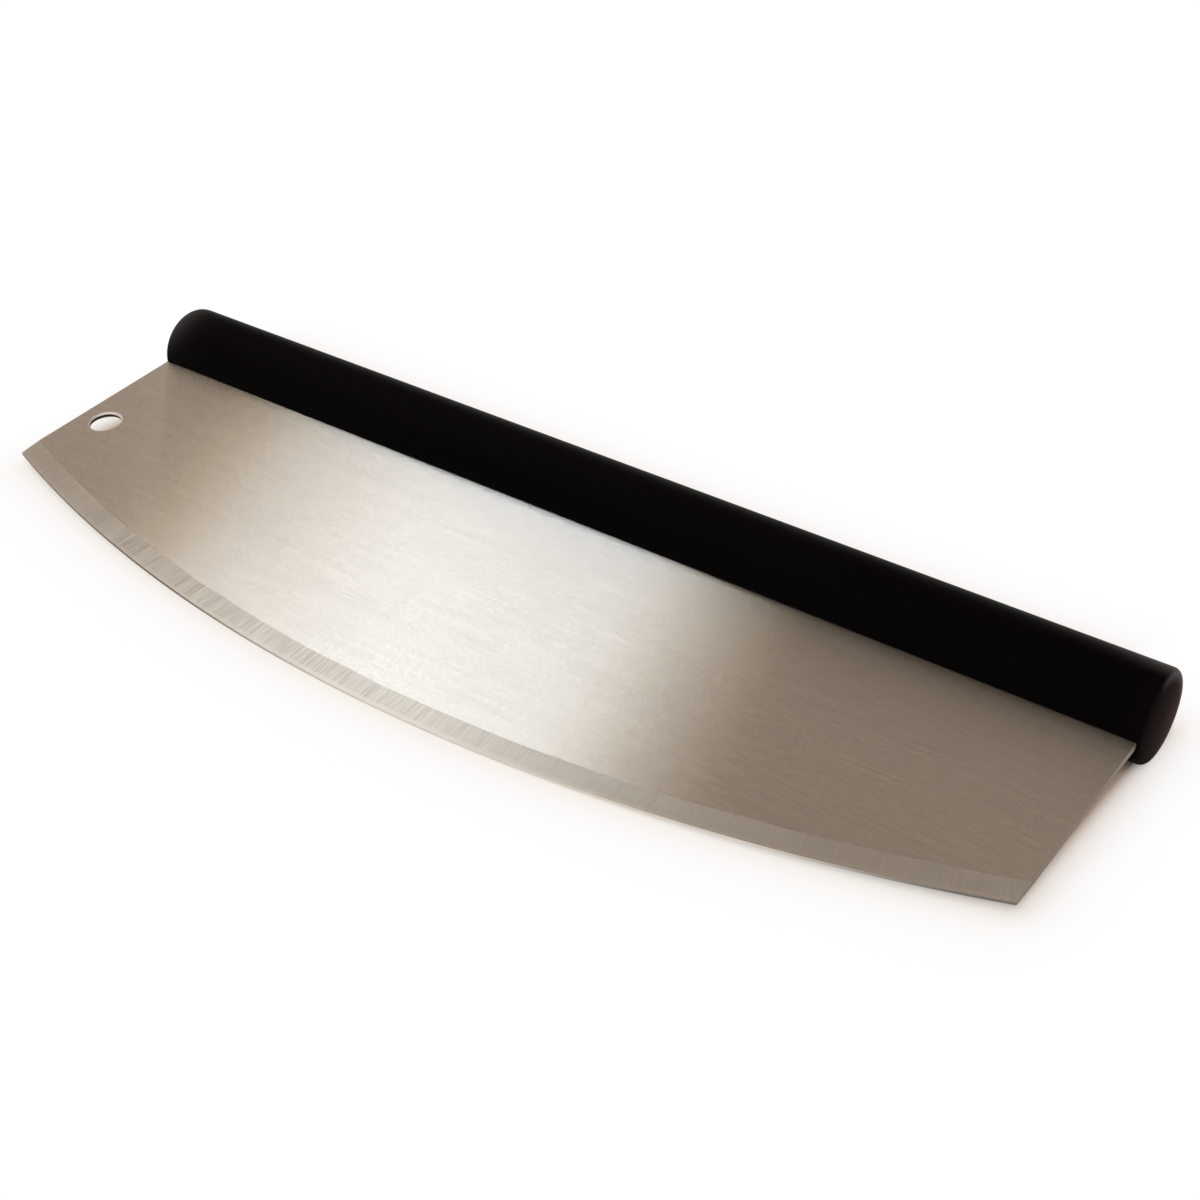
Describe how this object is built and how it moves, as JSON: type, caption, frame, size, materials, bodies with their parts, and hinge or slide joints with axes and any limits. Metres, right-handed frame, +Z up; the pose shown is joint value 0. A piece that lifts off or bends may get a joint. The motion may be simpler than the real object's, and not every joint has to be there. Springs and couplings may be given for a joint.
{
  "type": "rocking pizza knife",
  "caption": "Long stainless blade with a curved ground edge and a hanging hole, set in a round bar handle that both hands rock to cut flat food.",
  "frame": {"origin": "centre of the underside of the knife's box, with the knife lying on its side on a table", "axes": "+X along the handle toward the end away from the hanging hole, -Y toward the cutting edge, +Z up from the table"},
  "size_m": [0.35, 0.1184, 0.0264],
  "materials": {
    "blade_steel": "satin, brushed along the blade, with cross-ground bevels",
    "grip_plastic": "matte black, fine moulded texture",
    "cap_plastic": "matte black, fine moulded texture",
    "core_plastic": "plain moulded, hidden inside the grip",
    "rivet_metal": "plain, hidden inside the grip"
  },
  "bodies": {
    "root": {"blade": "blade_steel", "grip_sleeve": "grip_plastic", "end_cap_left": "cap_plastic", "end_cap_right": "cap_plastic", "core_front": "core_plastic", "core_back": "core_plastic", "tang_rivet_1": "rivet_metal", "tang_rivet_2": "rivet_metal", "tang_rivet_3": "rivet_metal", "tang_rivet_4": "rivet_metal", "tang_rivet_5": "rivet_metal"}
  },
  "joints": []
}
